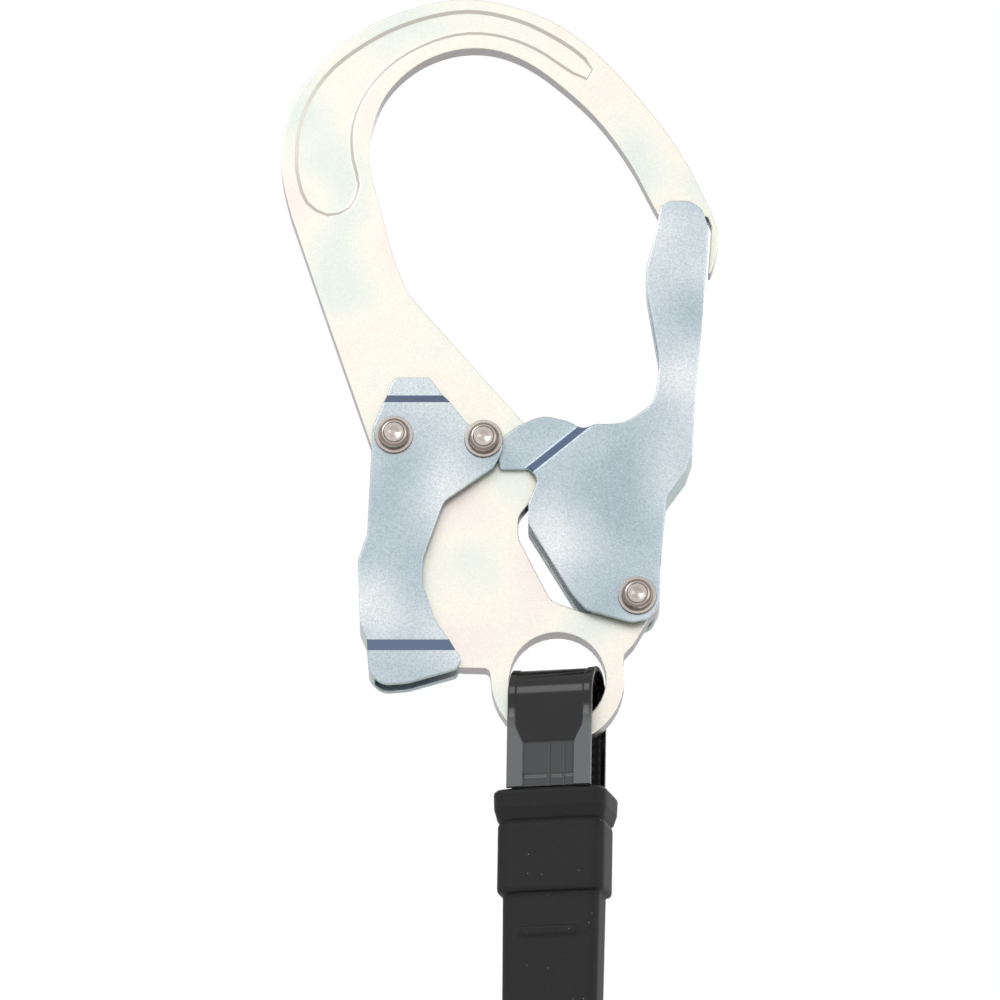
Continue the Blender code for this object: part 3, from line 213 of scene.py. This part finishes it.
def surface(name, points, closed_rows=False, closed_columns=False):
    """Mesh on a grid of points: each cell between two rows and two columns is a face."""
    rows, columns = points.shape[:2]
    i = np.arange(rows if closed_rows else rows - 1)[:, None]
    j = np.arange(columns if closed_columns else columns - 1)[None, :]
    i2, j2 = (i + 1) % rows, (j + 1) % columns
    faces = np.stack([i * columns + j, i2 * columns + j, i2 * columns + j2, i * columns + j2], axis=-1)
    mesh = bpy.data.meshes.new(name)
    mesh.from_pydata(points.reshape(-1, 3).tolist(), [], faces.reshape(-1, 4).tolist())
    shape = bmesh.new()
    shape.from_mesh(mesh)
    bmesh.ops.remove_doubles(shape, verts=shape.verts, dist=0.002 * MM)
    bmesh.ops.recalc_face_normals(shape, faces=shape.faces)
    shape.to_mesh(mesh)
    shape.free()
    mesh.shade_smooth()
    return mesh


# The dark wall and step colours are painted shade on the rivet heads' shoulders and edges, and on the swivel's
# sides.
nickel = plated(
    "bright nickel plate", ("C3B7B0", "D2C9C3", "DDD6D0"), painted_wall_shade="6E625E", painted_step_shade="8A7D78",
    shade=0.9, roughness=0.22, edge=0.2 * MM,
)

HEAD_H = 2.2 * MM
SHOULDER_FROM = 0.62
SHOULDER_DROP = 1.7 * MM
BROKEN_EDGE = 0.12 * MM
BORE_FIT = 0.3 * MM

for name in ("gate", "lever", "lock"):
    node = f"{name}_rivet"
    low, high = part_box(node)
    middle = (np.array(low) + np.array(high)) / 2
    half, rim = (high[1] - low[1]) / 2, (high[0] - low[0]) / 2
    seat = half - HEAD_H
    shank = 3.0 * MM if name != "lock" else 2.0 * MM
    # From the top's middle: a shallow dimple, the flat ring, the round shoulder, and the edge of the head.
    head = [(0, half - 0.35 * MM), (1.1 * MM, half - 0.3 * MM), (1.5 * MM, half - 0.04 * MM)]
    head += [(0.6 * rim, half), (0.66 * rim, half - 0.02 * MM)]
    turn = np.radians(np.linspace(88, 4, 9))
    out = rim * (SHOULDER_FROM + (1 - SHOULDER_FROM) * np.cos(turn))
    height = half - SHOULDER_DROP + 1.66 * MM * np.sin(turn)
    half_profile = [*head, *np.column_stack([out, height]).tolist()]
    half_profile += [(rim, seat + 0.15 * MM), (rim - 0.15 * MM, seat), (shank, seat)]
    profile = half_profile + [(r, -h) for r, h in reversed(half_profile)]
    body = "lever" if name == "lock" else "hook"
    rivet = turned(node + "_turned", profile, middle, "Y")
    fit(node + "_turned", rivet, nickel, body, "nickel", node)
    for word in ("front", "back"):
        washer = f"{name}_washer_{word}"
        low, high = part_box(washer)
        near, far, bore = low[1], high[1], shank + BORE_FIT
        outer = (high[0] - low[0]) / 2
        ring = [(bore, far), (outer - BROKEN_EDGE, far), (outer, far - BROKEN_EDGE)]
        ring += [(outer, near + BROKEN_EDGE), (outer - BROKEN_EDGE, near), (bore, near), (bore, far)]
        mesh = turned(washer + "_turned", ring, (middle[0], 0, middle[2]), "Y")
        mesh.set_sharp_from_angle(angle=math.radians(30))
        fit(washer + "_turned", mesh, nickel, body, "nickel", washer)


# --- Springs and steel inside ------------------------------------------------------------------------------
# Drawn music wire and rolled strip, oiled. The frame, spool and ratchet are cut from plated sheet and bar.



def two_tone(tree, pattern, dark, pale, start=0.0, end=1.0):
    """Colour that goes from a dark tone to a pale one while the pattern goes from start to end."""
    tone = add(tree, "ValToRGB", {"Fac": pattern})
    first, last = tone.color_ramp.elements
    first.position, last.position = start, end
    first.color, last.color = linear(dark), linear(pale)
    return tone.outputs["Color"]


spring_steel, tree, shader, place = new_material("oiled spring wire", 0.35, 1.0)
draw = add(tree, "TexNoise", {"Vector": place, "Scale": 1 / (0.5 * MM), "Detail": 2.0})
tone = two_tone(tree, draw.outputs["Fac"], "6C6F73", "9A9DA0")
tree.links.new(tone, shader.inputs["Base Color"])

# Its wall and step colour is painted shade, a little darker than the tints, on faces that lean from the plate's
# plane.
frame_steel = plated(
    "clear zinc on strip", ("9EA5A9", "A9AFB2", "B6BBBD"), painted_wall_shade="8C9296", painted_step_shade="8C9296",
    shade=0.88, roughness=0.4, edge=0.2 * MM,
)

bronze, tree, shader, place = new_material("sintered bronze", 0.45, 1.0)
pores = add(tree, "TexNoise", {"Vector": place, "Scale": 1 / (0.3 * MM), "Detail": 3.0})
tone = two_tone(tree, pores.outputs["Fac"], "7C5C32", "AD8750")
tree.links.new(tone, shader.inputs["Base Color"])


# --- Thimble -----------------------------------------------------------------------------------------------
# Glossy black nylon, moulded: a cover over the loop of webbing, and a latch panel that snaps into its front
# leg. Two rails run down the front leg's sides and stand proud of it.

gloss_plastic, tree, shader, place = new_material("glossy black nylon", 0.16, 0.0, Specular_IOR_Level=0.4)
flow = add(tree, "TexNoise", {"Vector": place, "Scale": 1 / (9 * MM), "Detail": 2.0})
tone = two_tone(tree, flow.outputs["Fac"], "0A0A0A", "151414")
# A mask stored on the cover's points makes its rails a paler grey, and the latch panel a little.
pale_rails = add(tree, "Attribute", attribute_name="pale_rails").outputs["Fac"]
paler = add(tree, "Mix", {"Factor": pale_rails}, data_type="RGBA")
tree.links.new(tone, paler.inputs[COLOUR_A])
paler.inputs[COLOUR_B].default_value = linear("6A6D6F")
tree.links.new(paler.outputs[COLOUR_OUT], shader.inputs["Base Color"])
skin = add(tree, "TexNoise", {"Vector": place, "Scale": 1 / (1.2 * MM), "Detail": 2.0})
texture_surface(tree, shader, skin.outputs["Fac"], 0.08, 0.05 * MM, 0.3 * MM)

# The lanyard's own axes: up along the line, sideways along the spool's shaft, and back from the front.
joints = {joint["name"]: joint for joint in frame["joints"]}
up = -np.array(joints["line_payout"]["axis"])
side = -np.array(joints["spool_spin"]["axis"])
lanyard_axes = np.stack([side, np.cross(up, side), up])
eye = np.array(joints["lanyard_swing"]["pos_m"])


def in_lanyard(name):
    """Lowest and highest corner of a CAD node along the lanyard's own axes, from the middle of the eye."""
    points = np.empty(len(nodes[name].data.vertices) * 3)
    nodes[name].data.vertices.foreach_get("co", points)
    own = (points.reshape(-1, 3) - eye) @ lanyard_axes.T
    return own.min(axis=0), own.max(axis=0)


def step_up(value, start, end):
    """Smooth step from 0 at start to 1 at end: 3t squared less 2t cubed."""
    t = np.clip((value - start) / (end - start), 0, 1)
    return t * t * (3 - 2 * t)


def arch_path(half, top, bottom, spacing):
    """Path up the front leg, over a half circle and down the back leg: (y, z) and the outward normal."""
    straight = np.arange(bottom, top - half, spacing)
    turn = np.linspace(math.pi, 0, 72)
    y = np.concatenate([np.full(len(straight), -half), half * np.cos(turn), np.full(len(straight), half)])
    z = np.concatenate([straight, top - half + half * np.sin(turn), straight[::-1]])
    legs = np.sign(y)
    over = z > top - half
    normal_y = np.where(over, y / half, legs)
    normal_z = np.where(over, (z - (top - half)) / half, 0.0)
    return y, z, normal_y, normal_z


RAIL_W, RAIL_H = 2.6 * MM, 0.5 * MM
# The middle panel gets narrower by this much on each side, from the first depth below the eye to the second.
PANEL_TAPER, TAPER_FROM, TAPER_TO = 2.4 * MM, 14 * MM, 21 * MM
LATCH_FROM, LATCH_SINK = 19.6 * MM, 0.25 * MM
SEAM_W, SEAM_H = 0.3 * MM, 0.35 * MM
# Places of the latch's seams: two across the cover's width, and one down from the eye.
SEAMS_ACROSS, SEAM_DOWN = (0.3 * MM, 4.6 * MM), 29.4 * MM
CORNER_R = 0.6 * MM


def panel_half(depth):
    """Half the middle panel's width at a depth below the eye: the cover's, less the rail and the taper."""
    return cover_w - RAIL_W - PANEL_TAPER * step_up(depth, TAPER_FROM, TAPER_TO)


low, high = in_lanyard("thimble_cover")
cover_half, cover_w, cover_wall = high[1] - RAIL_H, high[0], 1.3 * MM
y, z, normal_y, normal_z = arch_path(cover_half, high[2] - RAIL_H, low[2], 0.35 * MM)
across = np.linspace(-cover_w, cover_w, 141)
height, x = z[:, None], across[None, :]
leg = step_up(-y, 0.6 * cover_half, 0.98 * cover_half)[:, None]
# The rails beside the middle panel stand proud on the front leg and fade out on the arch.
inner_rail = panel_half(-height)
rail = step_up(np.abs(x), inner_rail, inner_rail + 0.35 * MM)
raised = RAIL_H * (rail * (0.45 + 0.55 * leg * step_up(-height, 9 * MM, 13 * MM)))
latch = leg * step_up(-height, LATCH_FROM, LATCH_FROM + 0.4 * MM) * (np.abs(x) < inner_rail)
seams = sum(np.exp(-(((x - seam) / SEAM_W) ** 2)) for seam in SEAMS_ACROSS)
seams = seams + np.exp(-(((height + SEAM_DOWN) / SEAM_W) ** 2))
raised = raised - (SEAM_H * np.clip(seams, 0, 1) + LATCH_SINK) * latch
past = np.clip((np.abs(x) - (cover_w - CORNER_R)) / CORNER_R, 0, 1)
raised = raised - CORNER_R * (1 - np.sqrt(1 - past**2))
rows = []
for offset, line in ((raised, across), (np.full_like(raised, -cover_wall), across[::-1])):
    points = np.stack(
        [
            np.broadcast_to(line, raised.shape),
            y[:, None] + normal_y[:, None] * offset,
            height + normal_z[:, None] * offset,
        ],
        axis=-1,
    )
    rows.append(points)
grid = eye + np.concatenate(rows, axis=1) @ lanyard_axes
cover = surface("thimble_cover_moulded", grid, closed_columns=True)
cover.set_sharp_from_angle(angle=math.radians(50))
# The front leg's rails are made a paler grey, and the latch panel a little.
own = np.empty(len(cover.vertices) * 3, np.float32)
cover.vertices.foreach_get("co", own)
x, y, z = ((own.reshape(-1, 3) - eye) @ lanyard_axes.T).T
on_rail = step_up(np.abs(x), panel_half(-z), panel_half(-z) + 0.3 * MM)
on_latch = (1 - on_rail) * step_up(-z, LATCH_FROM, LATCH_FROM + 0.4 * MM)
pale_rail_mask = (y < -0.8 * cover_half) * step_up(-z, 8 * MM, 16 * MM) * (0.75 * on_rail + 0.3 * on_latch)
cover.attributes.new("pale_rails", "FLOAT", "POINT").data.foreach_set("value", pale_rail_mask.astype(np.float32))
stands_for = ("thimble_cover", "thimble_latch")
fit("thimble_cover_moulded", cover, gloss_plastic, "lanyard", "gloss_plastic", *stands_for)
saddle = merged("thimble_saddle")
fit("thimble_saddle_moulded", saddle, gloss_plastic, "lanyard", "gloss_plastic", "thimble_saddle")


# --- Webbing -----------------------------------------------------------------------------------------------
# Flat polyester webbing, 22 mm wide and 1.4 mm thick, in a plain weave: thick weft ridges every 1.3 mm across
# the strap and fine warp threads along it.

webbing, tree, shader, place = new_material("black polyester webbing", 0.8, 0.0, Specular_IOR_Level=0.3)
weft = add(
    tree,
    "TexWave",
    {"Vector": place, "Scale": 1 / (1.3 * MM) / 20 * math.pi, "Distortion": 0.4},
    bands_direction="Z",
)
warp = add(
    tree,
    "TexWave",
    {"Vector": place, "Scale": 1 / (0.9 * MM) / 20 * math.pi, "Distortion": 0.4},
    bands_direction="X",
)
weave = add(tree, "Math", {0: weft.outputs["Fac"], 1: warp.outputs["Fac"]}, operation="MULTIPLY")
tone = two_tone(tree, weave.outputs[0], "0E0F11", "2A2C31")
tree.links.new(tone, shader.inputs["Base Color"])
texture_surface(tree, shader, weave.outputs[0], 0.7, 0.25 * MM, 0.4 * MM)

for name in ("webbing_loop", "strap"):
    fit(name + "_woven", merged(name), webbing, "lanyard", "webbing", name)


# --- Rubber sleeve -----------------------------------------------------------------------------------------
# One moulded sleeve of matt black rubber that keeps the loop together: a flared rim, a thick collar and a
# slim lower part with a blank raised pill on its front. The surface is dusty.

rubber, tree, shader, place = new_material("dusty black rubber", 0.55, 0.0, Specular_IOR_Level=0.3)
dust = add(tree, "TexNoise", {"Vector": place, "Scale": 1 / (0.7 * MM), "Detail": 4.0, "Roughness": 0.7})
tone = two_tone(tree, dust.outputs["Fac"], "0D0C0D", "191818", 0.35, 0.78)
# A speck of dust lies at some of the points of a 4 mm cell pattern.
cells = add(tree, "TexVoronoi", {"Vector": place, "Scale": 1 / (4 * MM)})
speck = add(tree, "MapRange", {"Value": cells.outputs["Distance"], "From Min": 0.05, "From Max": 0.03})
speckled = add(tree, "Mix", {"Factor": speck.outputs["Result"]}, data_type="RGBA")
tree.links.new(tone, speckled.inputs[COLOUR_A])
speckled.inputs[COLOUR_B].default_value = linear("77736F")
tree.links.new(speckled.outputs[COLOUR_OUT], shader.inputs["Base Color"])
texture_surface(tree, shader, dust.outputs["Fac"], 0.25, 0.08 * MM, 0.4 * MM)

PILL_W, PILL_H, PILL_RISE = 17.4 * MM, 3.0 * MM, 0.7 * MM
PILL_AT = -74.3 * MM


def rounded_tube(outside, inside, spacing, sharpness=5.0):
    """Tube of superelliptic sections: at angle t, x is w / 2 times cos t to the power 2 / n, and y is d / 2
    times sin t to the same power. Width and depth run straight between the (z, w, d) rows given."""
    turn = np.linspace(0, 2 * math.pi, 160, endpoint=False)
    power = 2 / sharpness
    unit_x = np.sign(np.cos(turn)) * np.abs(np.cos(turn)) ** power
    unit_y = np.sign(np.sin(turn)) * np.abs(np.sin(turn)) ** power
    walls = []
    for table in (outside, inside[::-1]):
        table = np.asarray(table, float) * MM
        reach = np.concatenate([[0], np.cumsum(np.linalg.norm(np.diff(table, axis=0), axis=1))])
        along = np.unique(np.concatenate([reach, np.arange(0, reach[-1], spacing)]))
        z, w, d = (np.interp(along, reach, column)[:, None] for column in table.T)
        walls.append(np.stack([w / 2 * unit_x, d / 2 * unit_y, z + 0 * unit_x], axis=-1))
    return np.concatenate(walls)


# Rows of (height, width, depth) in millimetres down the outside, and then the passage for the webbing.
sleeve_outside = [
    (-33.0, 30.6, 17.6), (-33.25, 31.8, 18.9), (-33.9, 32.9, 20.2), (-34.5, 33.2, 20.5), (-38.6, 33.0, 19.8),
    (-41.6, 31.6, 17.0), (-42.2, 30.9, 15.3), (-42.6, 30.8, 14.8), (-43.0, 31.1, 15.0), (-43.6, 31.4, 15.2),
    (-61.4, 31.4, 15.2), (-62.2, 31.2, 15.0), (-62.7, 30.6, 14.4), (-63.0, 29.4, 13.0), (-63.2, 28.6, 12.2),
    (-63.9, 28.4, 12.0), (-111.0, 27.6, 11.4), (-111.7, 27.2, 11.0), (-112.0, 26.4, 10.2),
]
sleeve_inside = [
    (-33.0, 22.8, 18.0), (-37.6, 22.7, 16.8), (-57.0, 22.7, 7.0), (-65.0, 22.7, 4.0), (-112.0, 22.7, 4.0),
]
grid = rounded_tube(sleeve_outside, sleeve_inside, 0.4 * MM, 7.0)
beside = np.maximum(np.abs(grid[..., 0]) - (PILL_W - PILL_H) / 2, 0)
from_pill = np.hypot(beside, grid[..., 2] - PILL_AT)
front = grid[..., 1] < -5 * MM
grid[..., 1] -= PILL_RISE * front * step_up(-from_pill, -PILL_H / 2 - 0.25 * MM, -PILL_H / 2 + 0.5 * MM)
sleeve = surface("rubber_sleeve_moulded", eye + grid @ lanyard_axes, closed_rows=True, closed_columns=True)
fit("rubber_sleeve_moulded", sleeve, rubber, "lanyard", "rubber", "rubber_sleeve")

fit("mouth_bumper_moulded", merged("mouth_bumper"), rubber, "retractor", "rubber", "mouth_bumper")


# --- Retractor casing --------------------------------------------------------------------------------------
# Two shells of glass-filled nylon, spark-eroded to a fine matt grain, held by four screws.

case_plastic, tree, shader, place = new_material("matt charcoal nylon", 0.5, 0.0, IOR=1.5)
spark = add(tree, "TexNoise", {"Vector": place, "Scale": 1 / (0.5 * MM), "Detail": 3.0})
tone = two_tone(tree, spark.outputs["Fac"], "1E2023", "34383C")
tree.links.new(tone, shader.inputs["Base Color"])
texture_surface(tree, shader, spark.outputs["Fac"], 0.35, 0.08 * MM, 0.8 * MM)

for name in ("casing_left", "casing_right"):
    shell = fit(name + "_moulded", merged(name), case_plastic, "retractor", "case_plastic", name)
    flat_faces = shell.modifiers.new("flat faces stay flat", "WEIGHTED_NORMAL")
    flat_faces.weight = 100
    flat_faces.keep_sharp = True


# --- Swivel ------------------------------------------------------------------------------------------------
# A forged and plated stud with a round eye, which turns in the frame's floor under the casing.

swivel = fit("swivel_forged", merged("swivel_eye"), nickel, "swivel", "nickel", "swivel_eye")
swivel.data.shade_smooth()
swivel.data.set_sharp_from_angle(angle=math.radians(50))

finishes = {
    "plate_zinc": plate_zinc, "sheet_zinc": sheet_zinc, "nickel": nickel, "spring_steel": spring_steel,
    "gloss_plastic": gloss_plastic, "rubber": rubber, "webbing": webbing, "case_plastic": case_plastic,
    "frame_steel": frame_steel, "bronze": bronze,
}
for part in frame["record"]["subparts"]:
    node = nodes[part["node"]]
    node.data.materials.clear()
    node.data.materials.append(finishes[part["material_slot"]])


# --- Studio ------------------------------------------------------------------------------------------------
# A pale floor two metres below the hook, a white room, and soft boxes above and to the left and right.

FLOOR_DROP = 2.0
bpy.ops.mesh.primitive_plane_add(size=60, location=(0, 0, -FLOOR_DROP))
floor = bpy.context.object
floor.name = "floor"
paper, tree, shader, place = new_material("white paper", 0.9)
shader.inputs["Base Color"].default_value = linear("F4F4F2")
floor.data.materials.append(paper)

world = bpy.data.worlds.new("white room")
world.use_nodes = True
world.node_tree.nodes["Background"].inputs["Color"].default_value = linear("FFFFFF")
world.node_tree.nodes["Background"].inputs["Strength"].default_value = 1.0
bpy.context.scene.world = world
bpy.context.scene.view_settings.view_transform = "Standard"

for name, place_at, size, power in (
    ("key", (-1.2, -2.2, 1.4), 1.2, 14),
    ("fill", (1.8, -1.8, 0.2), 1.4, 6),
    ("rim", (0.4, 2.0, 1.0), 1.2, 8),
):
    lamp = bpy.data.lights.new(name, "AREA")
    lamp.energy = power
    lamp.size = size
    box = bpy.data.objects.new(name, lamp)
    box.location = place_at
    aim = np.array([0.0, 0.0, -0.13]) - np.array(place_at)
    reach = math.hypot(aim[0], aim[1])
    box.rotation_euler = (math.atan2(reach, -aim[2]), 0, math.atan2(-aim[0], aim[1]))
    bpy.context.scene.collection.objects.link(box)

# The camera looks up a little from the front, from six metres off, so that it draws the hook almost flat.
CAMERA_RISE = math.radians(-15.5)
CAMERA_DISTANCE = 6.0
AIM = (0.0069, 0.0, -0.1336)
camera = bpy.data.objects.new("camera", bpy.data.cameras.new("camera"))
camera.data.sensor_width = 36.0
camera.data.lens = 756.0
camera.data.clip_end = 200.0
camera.location = (
    AIM[0],
    AIM[1] - CAMERA_DISTANCE * math.cos(CAMERA_RISE),
    AIM[2] + CAMERA_DISTANCE * math.sin(CAMERA_RISE),
)
camera.rotation_euler = (math.pi / 2 - CAMERA_RISE, 0, 0)
bpy.context.scene.collection.objects.link(camera)
bpy.context.scene.camera = camera
